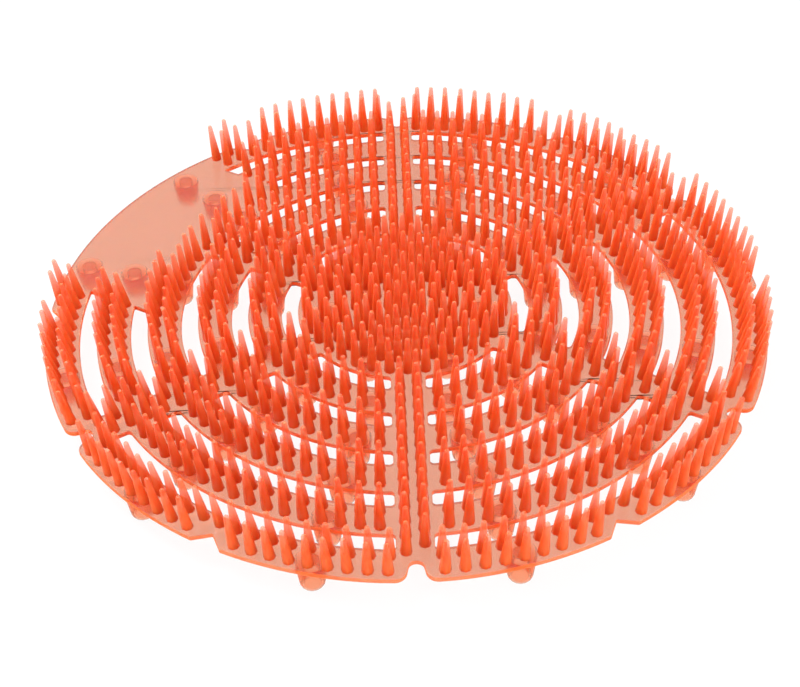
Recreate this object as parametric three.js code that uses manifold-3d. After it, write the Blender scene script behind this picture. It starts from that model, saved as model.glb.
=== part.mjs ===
// Urinal deodoriser screen: one soft moulded disc with arc slots, upright bristles and hollow feet.
// Millimetres, +Z up. The origin is the middle of the circle that the feet stand on.
// The viewer's side is -Y, and angles run anticlockwise from +X.
import * as THREE from "three";
import { mergeGeometries, mergeVertices } from "three/addons/utils/BufferGeometryUtils.js";
import Module from "manifold-3d";

// Driving dimensions
const rimRadius = 93;
const plateThickness = 1.3;
const footHeight = 7;
const bristleLength = 11.3;
const bristleSpacing = 4.4;
const bristleBaseRadius = 1.6;
const bristleSplay = 8;
const slotCount = 5;
const slotWidth = 4.3;
const outerBandWidth = 8.75;
const bandPitch = 13;
const spokeCount = 6;
const spokeWidth = 8.6;
const clearPanelWidth = 64.4;
const footTopRadius = 3.7;
const footTipRadius = 2.9;
const footBoreRadius = 1.8;

// Proportions and places that follow from them
const turn = 2 * Math.PI;
const sectorAngle = turn / spokeCount;
const firstSpokeAngle = sectorAngle / 2;
const clearSpoke = 2;
const clearBands = 2;
const plateBottom = footHeight;
const plateTop = footHeight + plateThickness;
const bandWidth = bandPitch - slotWidth;
const sunk = plateThickness / 3;
const cornerRadius = slotWidth * 0.37;
const chordHeight = 0.36;
const rowOffset = bristleSpacing * 0.48;
const columnOffset = bristleSpacing * 0.48;
const rowEndClearance = bristleSpacing * 1.33;
const spokeNotch = { mouth: 5, throat: 1.9, depth: 5.3 };
const edgeNotch = { mouth: 4.3, shoulder: 3.4, depth: 3.3 };

const spokeAngle = (spoke) => firstSpokeAngle + spoke * sectorAngle;
const slotOuterRadius = (slot) => rimRadius - outerBandWidth - slot * bandPitch;
const slotInnerRadius = (slot) => slotOuterRadius(slot) - slotWidth;
const discRadius = slotInnerRadius(slotCount - 1);

// The middle radius of a band: band 0 carries the rim, and the others lie inside one slot each.
function bandRadius(band) {
  const outer = band === 0 ? rimRadius : slotInnerRadius(band - 1);
  return (outer + slotOuterRadius(band)) / 2;
}

function polar(radius, angle) {
  return new THREE.Vector2(radius * Math.cos(angle), radius * Math.sin(angle));
}

// A point beside the radial line at an angle: `aside` along the circle, and `radius` out from the centre.
function besideLine(radius, angle, aside) {
  return polar(radius, angle + Math.asin(aside / radius));
}

// Points of an arc, as many as keep every chord within chordHeight of the circle.
function arcPoints(radius, start, end) {
  const step = 2 * Math.acos(1 - chordHeight / radius);
  const count = Math.max(1, Math.ceil(Math.abs(end - start) / step));
  return Array.from({ length: count + 1 }, (_, i) => polar(radius, start + ((end - start) * i) / count));
}

// One slot outline between two spokes. Its ends run parallel to the spokes and their corners are eased,
// but an end at the clear panel is cut square.
function slotOutline(slot, spoke) {
  const outer = slotOuterRadius(slot);
  const inner = slotInnerRadius(slot);
  const ends = [spoke, spoke + 1].map((side) => {
    const atPanel = side % spokeCount === clearSpoke && slot < clearBands;
    return { angle: spokeAngle(side), half: atPanel ? clearPanelWidth / 2 : spokeWidth / 2, square: atPanel };
  });
  const edge = (radius) => {
    const ease = ends.map((end) => (end.square ? 0 : cornerRadius));
    const start = ends[0].angle + Math.asin((ends[0].half + ease[0]) / radius);
    const stop = ends[1].angle - Math.asin((ends[1].half + ease[1]) / radius);
    return arcPoints(radius, start, stop);
  };
  const side = (end, direction) => {
    if (end.square) return [];
    const corners = [inner + cornerRadius, outer - cornerRadius];
    return corners.map((radius) => besideLine(radius, end.angle, direction * end.half));
  };
  return [...edge(outer), ...side(ends[1], -1).reverse(), ...edge(inner).reverse(), ...side(ends[0], 1)];
}

// The rim runs round the disc with a deep rounded notch at each spoke but the clear one, and a shallow
// V notch between each two spokes.
function rimOutline() {
  const deep = [
    [spokeNotch.mouth, 0],
    [spokeNotch.throat * 1.55, spokeNotch.depth * 0.3],
    [spokeNotch.throat, spokeNotch.depth * 0.76],
    [spokeNotch.throat * 0.45, spokeNotch.depth],
  ];
  const shallow = [
    [edgeNotch.mouth, 0],
    [edgeNotch.shoulder, edgeNotch.depth * 0.14],
    [0, edgeNotch.depth],
  ];
  const points = [];
  const notches = [];
  for (let spoke = 0; spoke < spokeCount; spoke += 1) {
    notches.push({ angle: spokeAngle(spoke) - sectorAngle / 2, profile: shallow });
    if (spoke !== clearSpoke) notches.push({ angle: spokeAngle(spoke), profile: deep });
  }
  notches.forEach(({ angle, profile }, i) => {
    const next = notches[(i + 1) % notches.length];
    const nextAngle = next.angle + (i + 1 < notches.length ? 0 : turn);
    const into = [...profile].reverse().filter(([aside]) => aside > 0);
    const before = profile.map(([aside, depth]) => besideLine(rimRadius - depth, angle, -aside));
    const after = into.map(([aside, depth]) => besideLine(rimRadius - depth, angle, aside));
    const arcStart = angle + Math.asin(profile[0][0] / rimRadius);
    const arcEnd = nextAngle - Math.asin(next.profile[0][0] / rimRadius);
    points.push(...before, ...after, ...arcPoints(rimRadius, arcStart, arcEnd).slice(1, -1));
  });
  return points;
}

// The flat plate, with its notched rim and its rings of arc slots.
function plateGeometry() {
  const outline = new THREE.Shape(rimOutline());
  for (let slot = 0; slot < slotCount; slot += 1)
    for (let spoke = 0; spoke < spokeCount; spoke += 1)
      outline.holes.push(new THREE.Path(slotOutline(slot, spoke)));
  const geometry = new THREE.ExtrudeGeometry(outline, { depth: plateThickness, bevelEnabled: false });
  return geometry.translate(0, 0, plateBottom);
}

// Evenly spaced angles of one row of bristles between two bounds on a circle.
function rowAngles(radius, start, end) {
  const count = Math.floor(((end - start) * radius) / bristleSpacing + 0.1) + 1;
  const step = bristleSpacing / radius;
  const middle = (start + end) / 2;
  return Array.from({ length: count }, (_, i) => middle + (i - (count - 1) / 2) * step);
}

function inClearPanel(point) {
  const along = point.clone().rotateAround(new THREE.Vector2(), -spokeAngle(clearSpoke));
  const panelStart = slotInnerRadius(clearBands - 1) - spokeWidth / 2;
  return Math.abs(along.y) < clearPanelWidth / 2 && along.x > panelStart;
}

// Two rows stand on each band. The V notch parts the outermost row in two.
function bandBristles() {
  const places = [];
  for (let band = 0; band < slotCount; band += 1)
    for (const side of [1, -1]) {
      const radius = bandRadius(band) + side * rowOffset;
      const clearance = rowEndClearance / radius;
      const parts = band === 0 && side === 1 ? 2 : 1;
      for (let part = 0; part < spokeCount * parts; part += 1) {
        const start = firstSpokeAngle + (part * sectorAngle) / parts;
        const angles = rowAngles(radius, start + clearance, start + sectorAngle / parts - clearance);
        places.push(...angles.map((angle) => polar(radius, angle)));
      }
    }
  return places;
}

// Two staggered columns run out along each spoke, from the middle disc to the rim's notch.
function spokeBristles() {
  const places = [];
  const outermost = rimRadius - spokeNotch.depth - bristleSpacing * 0.64;
  for (let spoke = 0; spoke < spokeCount; spoke += 1)
    for (const side of [-1, 1]) {
      const first = outermost - (side > 0 ? bristleSpacing / 2 : 0);
      for (let radius = first; radius > discRadius + bristleBaseRadius; radius -= bristleSpacing)
        places.push(besideLine(radius, spokeAngle(spoke), side * columnOffset));
    }
  return places;
}

// Rings of six, twelve, eighteen and so on fill the middle disc.
function discBristles() {
  const places = [new THREE.Vector2()];
  const ringStep = bristleSpacing * 0.97;
  for (let ring = 1; ring * ringStep < discRadius - bristleBaseRadius; ring += 1)
    for (let i = 0; i < spokeCount * ring; i += 1)
      places.push(polar(ring * ringStep, firstSpokeAngle + ((i + (ring % 2) / 2) * sectorAngle) / ring));
  return places;
}

// A three-sided spike with its root inside the plate. It leans outwards, the more the nearer to the rim.
function bristleGeometry(place) {
  const height = bristleLength + sunk;
  const geometry = new THREE.ConeGeometry(bristleBaseRadius, height, 3, 1);
  geometry.rotateX(Math.PI / 2).translate(0, 0, height / 2);
  const lean = THREE.MathUtils.degToRad((bristleSplay * place.length()) / rimRadius);
  const outward = place.angle();
  geometry.rotateZ(Math.PI).rotateY(lean).rotateZ(outward);
  return geometry.translate(place.x, place.y, plateTop - sunk);
}

// Feet stand midway between every spoke and V notch on each band, and in one ring under the disc.
function footPlaces() {
  const places = [];
  for (let band = 0; band < slotCount; band += 1)
    for (let i = 0; i < 2 * spokeCount; i += 1) places.push(polar(bandRadius(band), ((i + 0.5) * sectorAngle) / 2));
  for (let i = 0; i < spokeCount; i += 1) places.push(polar(discRadius * 0.72, i * sectorAngle));
  return places;
}

function taperedPeg(topRadius, tipRadius, height, sides) {
  return new THREE.CylinderGeometry(topRadius, tipRadius, height, sides, 1).rotateX(Math.PI / 2);
}

function footGeometry(place) {
  const height = footHeight + sunk;
  const peg = taperedPeg(footTopRadius, footTipRadius, height, 6).rotateZ(place.angle());
  return peg.translate(place.x, place.y, height / 2);
}

function footBoreGeometry(place) {
  const height = 2 * footHeight;
  const bore = taperedPeg(footBoreRadius, footBoreRadius, height, 4).rotateZ(place.angle());
  return bore.translate(place.x, place.y, 0);
}

const wasm = await Module();
wasm.setup();

function solid(geometry) {
  const plain = geometry.clone();
  plain.deleteAttribute("normal");
  plain.deleteAttribute("uv");
  const merged = mergeVertices(plain, 1e-4);
  const mesh = new wasm.Mesh({
    numProp: 3,
    vertProperties: merged.attributes.position.array,
    triVerts: new Uint32Array(merged.index.array),
  });
  return new wasm.Manifold(mesh);
}

// Solids that stand clear of each other, as one.
function solidOfMany(geometries) {
  return solid(mergeGeometries(geometries));
}

function geometryOf(body) {
  const mesh = body.getMesh();
  const geometry = new THREE.BufferGeometry();
  geometry.setAttribute("position", new THREE.BufferAttribute(mesh.vertProperties, 3));
  geometry.setIndex(new THREE.BufferAttribute(mesh.triVerts, 1));
  return geometry;
}

function screenGeometry() {
  const places = [...discBristles(), ...bandBristles(), ...spokeBristles()];
  const bristles = places.filter((place) => !inClearPanel(place));
  const feet = footPlaces();
  const body = solid(plateGeometry())
    .add(solidOfMany(bristles.map(bristleGeometry)))
    .add(solidOfMany(feet.map(footGeometry)))
    .subtract(solidOfMany(feet.map(footBoreGeometry)));
  return geometryOf(body);
}

const rubber = new THREE.MeshStandardMaterial({ color: 0xf0562a, roughness: 0.45, metalness: 0 });
const screen = new THREE.Mesh(screenGeometry(), rubber);
screen.name = "screen";

const object = new THREE.Group();
object.add(screen);

export default object;
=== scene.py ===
import math
import bpy
import bmesh
from mathutils import Matrix, Vector


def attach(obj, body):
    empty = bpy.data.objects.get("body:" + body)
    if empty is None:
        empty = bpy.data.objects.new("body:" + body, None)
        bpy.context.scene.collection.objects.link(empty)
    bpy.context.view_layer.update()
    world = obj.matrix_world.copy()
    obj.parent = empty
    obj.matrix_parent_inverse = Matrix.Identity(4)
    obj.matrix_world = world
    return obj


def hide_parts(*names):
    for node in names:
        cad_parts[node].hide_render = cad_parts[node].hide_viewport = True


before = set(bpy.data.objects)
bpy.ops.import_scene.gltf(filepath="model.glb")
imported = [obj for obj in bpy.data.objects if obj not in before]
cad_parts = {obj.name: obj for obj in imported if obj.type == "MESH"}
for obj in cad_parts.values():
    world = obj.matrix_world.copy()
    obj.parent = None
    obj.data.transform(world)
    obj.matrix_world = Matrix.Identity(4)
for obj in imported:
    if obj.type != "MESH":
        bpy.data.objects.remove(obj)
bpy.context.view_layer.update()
print("frame loaded")

mm = 0.001
turn = 2 * math.pi


def linearColour(hexCode):
    # sRGB hex to the linear values that Blender's sockets take
    parts = [int(hexCode[i:i + 2], 16) / 255 for i in (1, 3, 5)]
    return [v / 12.92 if v <= 0.04045 else ((v + 0.055) / 1.055) ** 2.4 for v in parts] + [1.0]


def addNode(tree, kind, settings=None, links=None, values=None):
    # one node with its settings, its plain values and what feeds it
    node = tree.nodes.new(kind)
    for name, value in (settings or {}).items():
        setattr(node, name, value)
    for name, value in (values or {}).items():
        node.inputs[name].default_value = value
    for name, source in (links or {}).items():
        tree.links.new(source, node.inputs[name])
    return node


def newObject(name, mesh):
    piece = bpy.data.objects.new(name, mesh)
    bpy.context.scene.collection.objects.link(piece)
    return piece


# sizes in millimetres, as in the CAD part
disc = {
    "rim": 93.0,
    "thick": 1.3,
    "footHeight": 7.0,
    "edgeRound": 0.22,
    "panelCorner": 0.25,
    "slots": 5,
    "slotWidth": 4.3,
    "outerBand": 8.75,
    "pitch": 13.0,
    "spokes": 6,
    "spokeWidth": 8.6,
    "slotCorner": 0.9,
    "clearSpoke": 2,
    "clearBands": 2,
    "clearWidth": 64.4,
    "arcStep": 1.8,  # degrees between points of an arc
}
sector = turn / disc["spokes"]
plateTop = disc["footHeight"] + disc["thick"]


def spokeAngle(spoke):
    return sector / 2 + spoke * sector


def slotOuter(slot):
    return disc["rim"] - disc["outerBand"] - slot * disc["pitch"]


def slotInner(slot):
    return slotOuter(slot) - disc["slotWidth"]


def bandMiddle(band):
    outer = disc["rim"] if band == 0 else slotInner(band - 1)
    return (outer + slotOuter(band)) / 2


def onCircle(radius, angle):
    return Vector((radius * math.cos(angle), radius * math.sin(angle)))


def besideLine(radius, angle, aside):
    # a point at a radius, and aside of the radial line at an angle
    return onCircle(radius, angle + math.asin(aside / radius))


def arcPoints(radius, start, end):
    count = max(2, math.ceil(abs(end - start) / math.radians(disc["arcStep"])))
    return [onCircle(radius, start + (end - start) * i / count) for i in range(count + 1)]


def eased(points, radii, steps=6):
    # rounds the corners of a closed outline, each by its own radius
    result = []
    count = len(points)
    for i, point in enumerate(points):
        if radii[i] <= 0:
            result.append(point)
            continue
        before = points[i - 1] - point
        after = points[(i + 1) % count] - point
        a, b = before.normalized(), after.normalized()
        half = a.angle(b) / 2
        reach = min(radii[i] / math.tan(half), before.length * 0.9, after.length * 0.9)
        radius = reach * math.tan(half)
        centre = point + (a + b).normalized() * radius / math.sin(half)
        start, end = point + a * reach - centre, point + b * reach - centre
        sweep = start.angle_signed(end)
        for k in range(steps + 1):
            result.append(centre + Matrix.Rotation(-sweep * k / steps, 2) @ start)
    return result


def thinned(arc, first, last):
    # leaves out the points that a corner's rounding needs the room of
    def clearOf(point, end, corner):
        return (point - end).length > corner * 1.3

    return [p for p in arc[1:-1] if clearOf(p, arc[0], first) and clearOf(p, arc[-1], last)]


def slotOutline(slot, spoke):
    # one slot between two spokes: eased corners, or square ones where the clear panel cuts it
    outer, inner = slotOuter(slot), slotInner(slot)
    ends = []
    for side in (spoke, spoke + 1):
        atPanel = side % disc["spokes"] == disc["clearSpoke"] and slot < disc["clearBands"]
        ends.append({
            "angle": spokeAngle(side),
            "half": (disc["clearWidth"] if atPanel else disc["spokeWidth"]) / 2,
            "corner": disc["panelCorner"] if atPanel else disc["slotCorner"],
        })

    def arcSpan(radius):
        start = ends[0]["angle"] + math.asin(ends[0]["half"] / radius)
        stop = ends[1]["angle"] - math.asin(ends[1]["half"] / radius)
        return arcPoints(radius, start, stop)

    outerArc, innerArc = arcSpan(outer), arcSpan(inner)
    first, last = ends[0]["corner"], ends[1]["corner"]
    points = [outerArc[0]] + thinned(outerArc, first, last) + [outerArc[-1]]
    corners = [first] + [0] * (len(points) - 2) + [last]
    back = [innerArc[-1]] + thinned(innerArc, first, last)[::-1] + [innerArc[0]]
    backCorners = [last] + [0] * (len(back) - 2) + [first]
    return eased(points + back, corners + backCorners)


rimNotches = {
    # aside, depth and corner radius of each point, from the rim in
    "deep": [(2.5, 0.0, 2.8), (1.45, 5.3, 1.7)],
    "shallow": [(3.9, 0.0, 0.7), (0.0, 3.3, 0.35)],
}


def rimOutline():
    # deep rounded notches at the spokes but the clear one, shallow V notches between them
    notches = []
    for spoke in range(disc["spokes"]):
        notches.append((spokeAngle(spoke) - sector / 2, rimNotches["shallow"]))
        if spoke != disc["clearSpoke"]:
            notches.append((spokeAngle(spoke), rimNotches["deep"]))
    points, corners = [], []
    for i, (angle, profile) in enumerate(notches):
        nextAngle, nextProfile = notches[(i + 1) % len(notches)]
        nextAngle += 0 if i + 1 < len(notches) else turn
        for aside, depth, corner in profile:
            points.append(besideLine(disc["rim"] - depth, angle, -aside))
            corners.append(corner)
        for aside, depth, corner in reversed(profile):
            if aside > 0:
                points.append(besideLine(disc["rim"] - depth, angle, aside))
                corners.append(corner)
        start = angle + math.asin(profile[0][0] / disc["rim"])
        end = nextAngle - math.asin(nextProfile[0][0] / disc["rim"])
        arc = arcPoints(disc["rim"], start, end)
        kept = thinned(arc, profile[0][2], nextProfile[0][2])
        points += kept
        corners += [0] * len(kept)
    return eased(points, corners)


def outlinePlate(name, outlines, bottom, thick, edgeRound):
    # a filled outline with holes, given its thickness and eased edges, as a plain mesh in metres
    curve = bpy.data.curves.new(name, "CURVE")
    curve.dimensions = "2D"
    curve.fill_mode = "BOTH"
    for outline in outlines:
        spline = curve.splines.new("POLY")
        spline.points.add(len(outline) - 1)
        for point, place in zip(spline.points, outline):
            point.co = (place.x * mm, place.y * mm, 0, 1)
        spline.use_cyclic_u = True
    drawn = newObject(name + "Outline", curve)
    bpy.context.view_layer.update()
    flat = bpy.data.meshes.new_from_object(drawn.evaluated_get(bpy.context.evaluated_depsgraph_get()))
    bpy.data.objects.remove(drawn)
    shape = bmesh.new()
    shape.from_mesh(flat)
    bmesh.ops.remove_doubles(shape, verts=shape.verts, dist=0.002 * mm)
    walls = bmesh.ops.extrude_face_region(shape, geom=shape.faces[:])["geom"]
    raised = [v for v in walls if isinstance(v, bmesh.types.BMVert)]
    bmesh.ops.translate(shape, verts=raised, vec=(0, 0, thick * mm))
    bmesh.ops.translate(shape, verts=shape.verts, vec=(0, 0, bottom * mm))
    bmesh.ops.recalc_face_normals(shape, faces=shape.faces)
    edges = [e for e in shape.edges if e.is_manifold and e.calc_face_angle(0) > 1.2 and
             abs(e.verts[0].co.z - e.verts[1].co.z) < 0.1 * mm]
    bmesh.ops.bevel(shape, geom=edges, offset=edgeRound * mm, segments=2, profile=0.5, affect="EDGES")
    shape.to_mesh(flat)
    shape.free()
    return flat


outlines = [rimOutline()]
for slot in range(disc["slots"]):
    for spoke in range(disc["spokes"]):
        outlines.append(slotOutline(slot, spoke))
screen = newObject("screen_moulding", outlinePlate("screen", outlines, disc["footHeight"], disc["thick"],
                                                   disc["edgeRound"]))
print("plate:", len(screen.data.polygons), "faces")


bristle = {
    "length": 11.3,
    "baseRadius": 1.37,
    "tipRadius": 0.62,
    "rootRadius": 1.42,
    "spacing": 4.4,
    "rowAside": 0.48,  # how far a row is from the middle of its band or spoke, in spacings
    "endClear": 1.33,  # how far a row ends from a spoke, in spacings
    "ringStep": 0.97,  # between the rings of the middle disc, in spacings
    "slotClear": 1.6,
    "notchClear": 7.916,
    "lean": 8.0,
    "leanSpread": 0.025,
    "lengthSpread": 0.05,
    "rootDepth": 0.4,
    "rootHeight": 0.6,
    "tipEase": 0.35,
    "tipFlat": 0.68,  # the flat end's radius, as a share of the tip's
    "sides": 8,
    "seed": 7,
}


def rowAngles(radius, start, end):
    count = math.floor((end - start) * radius / bristle["spacing"] + 0.1) + 1
    step = bristle["spacing"] / radius
    return [(start + end) / 2 + (i - (count - 1) / 2) * step for i in range(count)]


def inClearPanel(place):
    angle = -spokeAngle(disc["clearSpoke"])
    along = place.x * math.cos(angle) - place.y * math.sin(angle)
    across = place.x * math.sin(angle) + place.y * math.cos(angle)
    start = slotInner(disc["clearBands"] - 1) - disc["spokeWidth"] / 2
    return abs(across) < disc["clearWidth"] / 2 and along > start


def bristlePlaces():
    gap = bristle["spacing"]
    places = [Vector((0, 0))]
    ring = 1
    step = gap * bristle["ringStep"]
    while ring * step < slotInner(disc["slots"] - 1) - bristle["slotClear"]:
        for i in range(6 * ring):
            places.append(onCircle(ring * step, spokeAngle(0) + (i + (ring % 2) / 2) * sector / ring))
        ring += 1
    for band in range(disc["slots"]):
        for side in (1, -1):
            radius = bandMiddle(band) + side * gap * bristle["rowAside"]
            clear = gap * bristle["endClear"] / radius
            parts = 2 if band == 0 and side == 1 else 1  # the V notch parts the outermost row
            for part in range(disc["spokes"] * parts):
                start = spokeAngle(0) + part * sector / parts
                for angle in rowAngles(radius, start + clear, start + sector / parts - clear):
                    places.append(onCircle(radius, angle))
    outermost = disc["rim"] - bristle["notchClear"]
    for spoke in range(disc["spokes"]):
        for side in (-1, 1):
            radius = outermost - (gap / 2 if side > 0 else 0)
            while radius > slotInner(disc["slots"] - 1) + bristle["slotClear"]:
                places.append(besideLine(radius, spokeAngle(spoke), side * gap * bristle["rowAside"]))
                radius -= gap
    return [place for place in places if not inClearPanel(place)]


def latheMesh(name, profile, sides, caps):
    # turns a profile of radius and height round Z; caps close its two ends where they aren't on the axis
    shape = bmesh.new()
    rings = []
    for radius, height in profile:
        if radius == 0:
            rings.append([shape.verts.new((0, 0, height * mm))])
            continue
        circle = [onCircle(radius * mm, turn * i / sides) for i in range(sides)]
        rings.append([shape.verts.new((place.x, place.y, height * mm)) for place in circle])
    for low, high in zip(rings, rings[1:]):
        for i in range(sides):
            j = (i + 1) % sides
            corners = [low[i % len(low)], low[j % len(low)], high[j % len(high)], high[i % len(high)]]
            shape.faces.new(list(dict.fromkeys(corners)))
    for ring, wanted in ((rings[0], caps[0]), (rings[-1], caps[1])):
        if wanted:
            shape.faces.new(ring)
    bmesh.ops.remove_doubles(shape, verts=shape.verts, dist=0.001 * mm)
    bmesh.ops.recalc_face_normals(shape, faces=shape.faces)
    mesh = bpy.data.meshes.new(name)
    shape.to_mesh(mesh)
    shape.free()
    mesh.shade_smooth()
    return mesh


def scatterTree():
    # stands a copy of one shape on every point, leaning outwards by its distance from the middle
    tree = bpy.data.node_groups.new("standOnPoints", "GeometryNodeTree")
    sockets = [
        ("Geometry", "NodeSocketGeometry", None),
        ("Shape", "NodeSocketObject", None),
        ("Lean", "NodeSocketFloat", 0.0),
        ("Lean Spread", "NodeSocketFloat", 0.0),
        ("Length Spread", "NodeSocketFloat", 0.0),
        ("Seed", "NodeSocketInt", 0),
        ("Material", "NodeSocketMaterial", None),
    ]
    for name, kind, value in sockets:
        socket = tree.interface.new_socket(name, in_out="INPUT", socket_type=kind)
        if value is not None:
            socket.default_value = value
    tree.interface.new_socket("Geometry", in_out="OUTPUT", socket_type="NodeSocketGeometry")
    given = addNode(tree, "NodeGroupInput").outputs
    place = addNode(tree, "GeometryNodeInputPosition").outputs[0]
    flat = addNode(tree, "ShaderNodeVectorMath", {"operation": "MULTIPLY"}, {0: place}, {1: (1, 1, 0)})
    leant = addNode(tree, "ShaderNodeVectorMath", {"operation": "SCALE"},
                    {0: flat.outputs[0], "Scale": given["Lean"]})
    low = addNode(tree, "ShaderNodeVectorMath", {"operation": "SCALE"}, {"Scale": given["Lean Spread"]},
                  {0: (-1, -1, 0)})
    high = addNode(tree, "ShaderNodeVectorMath", {"operation": "SCALE"}, {"Scale": given["Lean Spread"]},
                   {0: (1, 1, 0)})
    stray = addNode(tree, "FunctionNodeRandomValue", {"data_type": "FLOAT_VECTOR"},
                    {0: low.outputs[0], 1: high.outputs[0], "Seed": given["Seed"]})
    upright = addNode(tree, "ShaderNodeVectorMath", {"operation": "ADD"}, {0: leant.outputs[0]},
                      {1: (0, 0, 1)})
    way = addNode(tree, "ShaderNodeVectorMath", {"operation": "ADD"},
                  {0: upright.outputs[0], 1: stray.outputs[0]})
    aim = addNode(tree, "FunctionNodeAlignRotationToVector", {"axis": "Z"}, {"Vector": way.outputs[0]})
    shorter = addNode(tree, "ShaderNodeMath", {"operation": "SUBTRACT"}, {1: given["Length Spread"]},
                      {0: 1.0})
    tall = addNode(tree, "FunctionNodeRandomValue", {"data_type": "FLOAT"},
                   {2: shorter.outputs[0], "Seed": given["Seed"]}, {3: 1.0})
    size = addNode(tree, "ShaderNodeCombineXYZ", None, {"Z": tall.outputs[1]}, {"X": 1.0, "Y": 1.0})
    source = addNode(tree, "GeometryNodeObjectInfo", {"transform_space": "ORIGINAL"},
                     {"Object": given["Shape"]})
    stand = addNode(tree, "GeometryNodeInstanceOnPoints", None, {
        "Points": given["Geometry"], "Instance": source.outputs["Geometry"],
        "Rotation": aim.outputs[0], "Scale": size.outputs[0],
    })
    whole = addNode(tree, "GeometryNodeRealizeInstances", None, {"Geometry": stand.outputs[0]})
    dressed = addNode(tree, "GeometryNodeSetMaterial", None,
                      {"Geometry": whole.outputs[0], "Material": given["Material"]})
    addNode(tree, "NodeGroupOutput", None, {"Geometry": dressed.outputs[0]})
    return tree


standOnPoints = scatterTree()


def standing(name, shape, places, height, settings):
    # one plain mesh with the shape on every place
    points = bpy.data.meshes.new(name + "Points")
    points.from_pydata([(p.x * mm, p.y * mm, height * mm) for p in places], [], [])
    holder = newObject(name + "Holder", points)
    pattern = newObject(name + "Pattern", shape)
    modifier = holder.modifiers.new("stand", "NODES")
    modifier.node_group = standOnPoints
    chosen = dict(settings, Shape=pattern)
    for item in standOnPoints.interface.items_tree:
        if item.in_out == "INPUT" and item.name in chosen:
            modifier[item.identifier] = chosen[item.name]
    bpy.context.view_layer.update()
    graph = bpy.context.evaluated_depsgraph_get()
    mesh = bpy.data.meshes.new_from_object(holder.evaluated_get(graph))
    holder.modifiers.remove(modifier)
    bpy.data.objects.remove(holder)
    bpy.data.objects.remove(pattern)
    mesh.name = name
    return newObject(name, mesh)


plastic = {
    "sheetTint": "#EAB29C",
    # painted glow: the next two are brighter orange tints for the upright walls of the sheet and of the feet
    "wallGlowTint": "#EE7844",
    "footGlowTint": "#FA844E",
    "rootTint": "#D45E2A",
    "tipTint": "#DD7350",
    "depthColour": "#FBB268",
    "depth": 250.0,
    "roughness": 0.22,
    "haze": 0.1,
    "marksPerMetre": 260.0,
    "marksRelief": 0.25,
    "marksDepth": 0.1,
    "ior": 1.38,
    "wallIor": 1.06,
    "sheen": 0.25,
    "sheetClear": 0.96,
    "wallClear": 0.3,
    "footClear": 0.92,
    "pinClear": 0.12,
    "wallBody": 0.82,
    "footBody": 0.62,
    "tipBody": 0.62,
    "footFade": 0.3,
    "glowReach": 0.003,
}


def blended(tree, share, low, high):
    # mixes two colours or two plain values, each given as a number or as another node's output
    isColour = any(isinstance(v, list) or getattr(v, "type", "") == "RGBA" for v in (low, high))
    node = addNode(tree, "ShaderNodeMix", {"data_type": "RGBA" if isColour else "FLOAT"}, {0: share})
    places = (6, 7) if isColour else (2, 3)
    for spot, value in zip(places, (low, high)):
        if isinstance(value, bpy.types.NodeSocket):
            tree.links.new(value, node.inputs[spot])
        else:
            node.inputs[spot].default_value = value
    return node.outputs[2 if isColour else 0]


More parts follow.
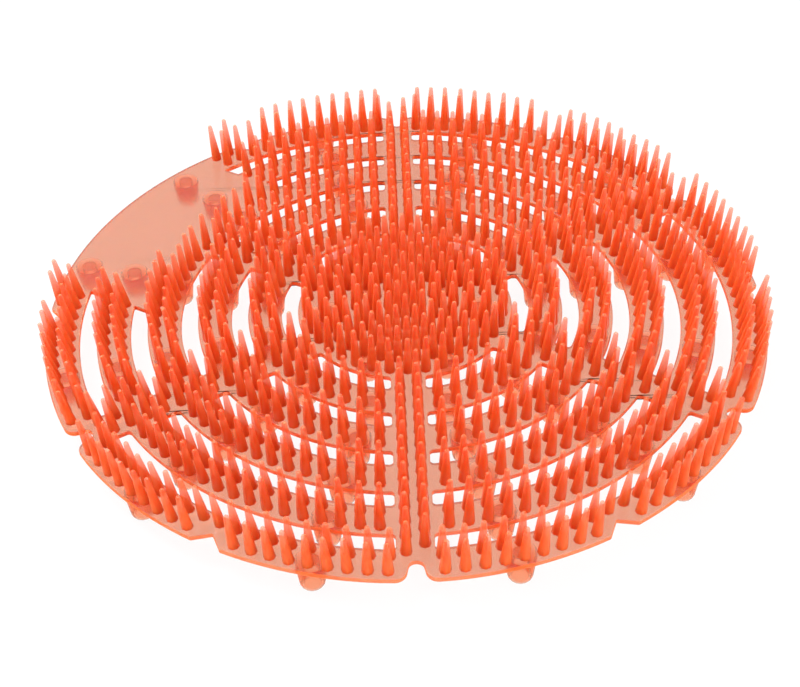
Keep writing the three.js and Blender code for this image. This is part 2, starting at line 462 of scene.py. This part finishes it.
def mouldedPlastic():
    # injection-moulded translucent EVA: the thin sheet lets the light through and looks pale, and the
    # pins hold it, so they look saturated at the root and clearer at the tip
    material = bpy.data.materials.new("translucentEva")
    material.use_nodes = True
    tree = material.node_tree
    tree.nodes.clear()
    place = addNode(tree, "ShaderNodeTexCoord").outputs["Object"]
    height = addNode(tree, "ShaderNodeSeparateXYZ", None, {0: place}).outputs["Z"]
    top = plateTop * mm
    along = addNode(tree, "ShaderNodeMapRange", None, {"Value": height},
                    {"From Min": top, "From Max": top + bristle["length"] * mm})
    tint = addNode(tree, "ShaderNodeValToRGB", None, {0: along.outputs[0]})
    ramp = tint.color_ramp
    ramp.elements[0].position = 0.0
    ramp.elements[0].color = linearColour(plastic["sheetTint"])
    ramp.elements[1].position = 1.0
    ramp.elements[1].color = linearColour(plastic["tipTint"])
    for spot, code in ((0.006, plastic["rootTint"]), (0.5, plastic["rootTint"])):
        ramp.elements.new(spot).color = linearColour(code)
    # upright walls of the sheet and of the feet get a brighter orange tint than the flat faces: a painted
    # glow for the light the plastic carries to its edges
    surface = addNode(tree, "ShaderNodeNewGeometry").outputs
    facing = addNode(tree, "ShaderNodeSeparateXYZ", None, {0: surface["True Normal"]}).outputs["Z"]
    level = addNode(tree, "ShaderNodeMath", {"operation": "ABSOLUTE"}, {0: facing})
    upright = addNode(tree, "ShaderNodeMapRange", None, {"Value": level.outputs[0]},
                      {"From Min": 0.95, "From Max": 0.5}).outputs[0]
    isSheet = addNode(tree, "ShaderNodeMapRange", None, {"Value": height}, {
        "From Min": (disc["footHeight"] - plastic["footFade"]) * mm, "From Max": disc["footHeight"] * mm,
    }).outputs[0]
    isPin = addNode(tree, "ShaderNodeMapRange", None, {"Value": along.outputs[0]},
                    {"From Min": 0.0005, "From Max": 0.003}).outputs[0]
    # painted glow: the upright walls of the sheet and of the feet take these brighter tints
    sideGlowTint = blended(tree, isSheet, linearColour(plastic["footGlowTint"]), linearColour(plastic["wallGlowTint"]))
    lowTintWithGlow = blended(tree, upright, tint.outputs[0], sideGlowTint)
    colour = blended(tree, isPin, lowTintWithGlow, tint.outputs[0])
    sideClear = blended(tree, isSheet, plastic["footClear"], plastic["wallClear"])
    lowClear = blended(tree, upright, plastic["sheetClear"], sideClear)
    clear = blended(tree, isPin, lowClear, plastic["pinClear"])
    # light leaves the upright walls almost straight, so that they glow and hold no dark core
    bend = blended(tree, isPin, blended(tree, upright, plastic["ior"], plastic["wallIor"]), plastic["ior"])
    # how much of the body is seen; the rest lets straight through what lies behind
    pinBody = addNode(tree, "ShaderNodeMapRange", None, {"Value": along.outputs[0]}, {
        "From Min": 0.3, "To Min": 1.0, "To Max": plastic["tipBody"],
    }).outputs[0]
    # seen from inside, a pin's far wall is left out
    nearWall = blended(tree, surface["Backfacing"], pinBody, 0.0)
    sideBody = blended(tree, isSheet, plastic["footBody"], plastic["wallBody"])
    body = blended(tree, isPin, blended(tree, upright, 1.0, sideBody), nearWall)
    # faint flow marks of the moulding, a few millimetres across, change how sharply it shines
    marks = addNode(tree, "ShaderNodeTexNoise", None, {"Vector": place},
                    {"Scale": plastic["marksPerMetre"], "Detail": 3.0})
    gloss = addNode(tree, "ShaderNodeMapRange", None, {"Value": marks.outputs[0]}, {
        "From Min": 0.3, "From Max": 0.7,
        "To Min": plastic["roughness"] - plastic["haze"] / 2,
        "To Max": plastic["roughness"] + plastic["haze"] / 2,
    })
    relief = addNode(tree, "ShaderNodeBump", None, {"Height": marks.outputs[0]},
                     {"Strength": plastic["marksRelief"], "Distance": plastic["marksDepth"] * mm})
    shader = addNode(tree, "ShaderNodeBsdfPrincipled", None, {
        "Base Color": colour, "Transmission Weight": clear, "Roughness": gloss.outputs[0],
        "Alpha": body, "IOR": bend, "Normal": relief.outputs[0],
    }, {
        "Specular IOR Level": plastic["sheen"],
        "Subsurface Weight": 1.0,
        "Subsurface Radius": (1.0, 0.3, 0.15),
        "Subsurface Scale": plastic["glowReach"],
    })
    inside = addNode(tree, "ShaderNodeVolumeAbsorption", None, None, {
        "Color": linearColour(plastic["depthColour"]),
        "Density": plastic["depth"],
    })
    addNode(tree, "ShaderNodeOutputMaterial", None,
            {"Surface": shader.outputs[0], "Volume": inside.outputs[0]})
    return material


softPlastic = mouldedPlastic()

base, tip, long = bristle["baseRadius"], bristle["tipRadius"], bristle["length"]
bristleProfile = [
    (bristle["rootRadius"], -bristle["rootDepth"]), (bristle["rootRadius"], 0), (base, bristle["rootHeight"]),
    (tip, long - bristle["tipEase"]), (tip * bristle["tipFlat"], long), (0, long),
]
pinShape = latheMesh("pinShape", bristleProfile, bristle["sides"], (True, False))
bristles = standing("bristles", pinShape, bristlePlaces(), plateTop, {
    "Lean": math.tan(math.radians(bristle["lean"])) / (disc["rim"] * mm),
    "Lean Spread": bristle["leanSpread"],
    "Length Spread": bristle["lengthSpread"],
    "Seed": bristle["seed"],
    "Material": softPlastic,
})
print("bristles:", len(bristles.data.polygons), "faces")


foot = {
    "topRadius": 3.7,
    "tipRadius": 2.9,
    "boreRadius": 1.9,
    "edgeRound": 0.7,
    "boreEase": 0.15,
    "rootDepth": 0.4,
    "collar": 0.2,
    "discRing": 0.72,  # the middle ring's radius, as a share of the middle disc
    "sides": 16,
}


def footPlaces():
    places = []
    for band in range(disc["slots"]):
        for i in range(2 * disc["spokes"]):
            places.append(onCircle(bandMiddle(band), (i + 0.5) * sector / 2))
    for i in range(disc["spokes"]):
        places.append(onCircle(slotInner(disc["slots"] - 1) * foot["discRing"], i * sector))
    return places


high, easeBy = disc["footHeight"], foot["edgeRound"]
rooted = high + foot["rootDepth"]
footProfile = [
    (foot["boreRadius"], rooted), (foot["topRadius"], rooted), (foot["topRadius"], high - foot["collar"]),
    (foot["tipRadius"] + 0.05, easeBy), (foot["tipRadius"] - easeBy * 0.25, easeBy * 0.3),
    (foot["tipRadius"] - easeBy * 0.75, 0), (foot["boreRadius"] + foot["boreEase"], 0),
    (foot["boreRadius"], 0.2), (foot["boreRadius"], rooted),
]
footShape = latheMesh("footShape", footProfile, foot["sides"], (False, False))
feet = standing("feet", footShape, footPlaces(), 0.0, {"Material": softPlastic})
print("feet:", len(feet.data.polygons), "faces")


def joined(target, additions):
    # one moulding: the pins and feet are welded into the plate
    for extra in additions:
        weld = target.modifiers.new("weld", "BOOLEAN")
        weld.operation = "UNION"
        weld.solver = "MANIFOLD"
        weld.object = extra
    bpy.context.view_layer.update()
    mesh = bpy.data.meshes.new_from_object(target.evaluated_get(bpy.context.evaluated_depsgraph_get()))
    target.modifiers.clear()
    target.data = mesh
    for extra in additions:
        bpy.data.objects.remove(extra)
    mesh.name = target.name


def softened(mesh):
    # round forms are shaded smooth, and the sheet's flat faces end in a sharp edge and stay flat
    shape = bmesh.new()
    shape.from_mesh(mesh)
    for face in shape.faces:
        face.smooth = True
    for edge in shape.edges:
        bySheet = any(abs(face.normal.z) > 0.9995 for face in edge.link_faces)
        edge.smooth = edge.calc_face_angle(0) < math.radians(6 if bySheet else 62)
    shape.to_mesh(mesh)
    shape.free()


joined(screen, (bristles, feet))
screen.data.materials.clear()
screen.data.materials.append(softPlastic)
softened(screen.data)
print("screen:", len(screen.data.polygons), "faces")

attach(screen, "root")
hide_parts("screen")


studio = {
    "floorColour": "#F4F4F4",
    "floorSize": 6.0,
    "whiteShare": 0.92,
    "skyLight": 1.0,
    "keyPower": 15.0,
    "fillShare": 0.4,
    "keySize": 0.6,
}

floorMesh = bpy.data.meshes.new("floor")
reach = studio["floorSize"] / 2
floorMesh.from_pydata([(-reach, -reach, 0), (reach, -reach, 0), (reach, reach, 0), (-reach, reach, 0)], [],
                      [(0, 1, 2, 3)])
floor = newObject("floor", floorMesh)


def seenDirectly(tree, cameraShare):
    # how white the camera sees it; in gloss and through the clear plastic it is all white
    path = addNode(tree, "ShaderNodeLightPath")
    first = addNode(tree, "ShaderNodeMath", {"operation": "MULTIPLY"}, {0: path.outputs["Is Camera Ray"]},
                    {1: cameraShare})
    second = addNode(tree, "ShaderNodeMath", {"operation": "MAXIMUM"},
                     {0: first.outputs[0], 1: path.outputs["Is Glossy Ray"]})
    return addNode(tree, "ShaderNodeMath", {"operation": "MAXIMUM"},
                   {0: second.outputs[0], 1: path.outputs["Is Transmission Ray"]}).outputs[0]


floorMaterial = bpy.data.materials.new("paperFloor")
floorMaterial.use_nodes = True
tree = floorMaterial.node_tree
tree.nodes.clear()
paper = addNode(tree, "ShaderNodeBsdfDiffuse", None, None, {"Color": linearColour(studio["floorColour"])})
glow = addNode(tree, "ShaderNodeEmission", None, None, {"Color": (1, 1, 1, 1), "Strength": 1.0})
mixed = addNode(tree, "ShaderNodeMixShader", None, {
    0: seenDirectly(tree, studio["whiteShare"]), 1: paper.outputs[0], 2: glow.outputs[0],
})
addNode(tree, "ShaderNodeOutputMaterial", None, {"Surface": mixed.outputs[0]})
floor.data.materials.append(floorMaterial)

world = bpy.data.worlds.new("studioWorld")
world.use_nodes = True
tree = world.node_tree
tree.nodes.clear()
sky = addNode(tree, "ShaderNodeBackground", None, None, {
    "Color": (1, 1, 1, 1), "Strength": studio["skyLight"],
})
addNode(tree, "ShaderNodeOutputWorld", None, {"Surface": sky.outputs[0]})
bpy.context.scene.world = world


def softLamp(name, place, power, size):
    lamp = bpy.data.lights.new(name, "AREA")
    lamp.energy = power
    lamp.size = size
    holder = bpy.data.objects.new(name, lamp)
    holder.location = place
    holder.rotation_euler = (-Vector(place)).to_track_quat("-Z", "Y").to_euler()
    bpy.context.scene.collection.objects.link(holder)


softLamp("keyLamp", (-0.5, 0.35, 0.9), studio["keyPower"], studio["keySize"])
softLamp("fillLamp", (0.7, -0.5, 0.7), studio["keyPower"] * studio["fillShare"], studio["keySize"])

view = {
    "width": 800, "height": 687,
    "focal": 1483.8,  # in pixels of an 800-wide picture
    "elevation": 38.996, "azimuth": 0.63, "distance": 388.1,
    "middle": (405.92, 306.19),  # where the plate's middle falls in the picture
    "roll": 1.542,
}


def placeCamera():
    lens = bpy.data.cameras.new("camera")
    lens.sensor_width = 36
    lens.lens = 36 * view["focal"] / view["width"]
    lens.clip_start = 0.01
    camera = bpy.data.objects.new("camera", lens)
    bpy.context.scene.collection.objects.link(camera)
    rise, side = math.radians(view["elevation"]), math.radians(view["azimuth"])
    forward = Vector((0, math.cos(rise), -math.sin(rise)))
    right = Vector((1, 0, 0))
    up = right.cross(forward)
    # the camera's own axes, before it is turned so that the middle falls where it should
    axes = Matrix((right, up, forward))
    aim = Vector(((view["middle"][0] - view["width"] / 2) / view["focal"],
                  -(view["middle"][1] - view["height"] / 2) / view["focal"], 1)).normalized()
    swing = Vector((0, 0, 1)).rotation_difference(aim).to_matrix()
    tilt = Matrix.Rotation(math.radians(view["roll"]), 3, "Z")
    seen = tilt @ swing @ axes
    world = Matrix((seen[0], seen[1], -seen[2])).transposed().to_4x4()
    world.translation = -forward * view["distance"] * mm
    spin = Matrix.Rotation(-side, 4, "Z")
    camera.matrix_world = Matrix.Translation((0, 0, plateTop * mm)) @ spin @ world
    bpy.context.scene.camera = camera


placeCamera()
bpy.context.scene.view_settings.view_transform = "Standard"

print("scene done")
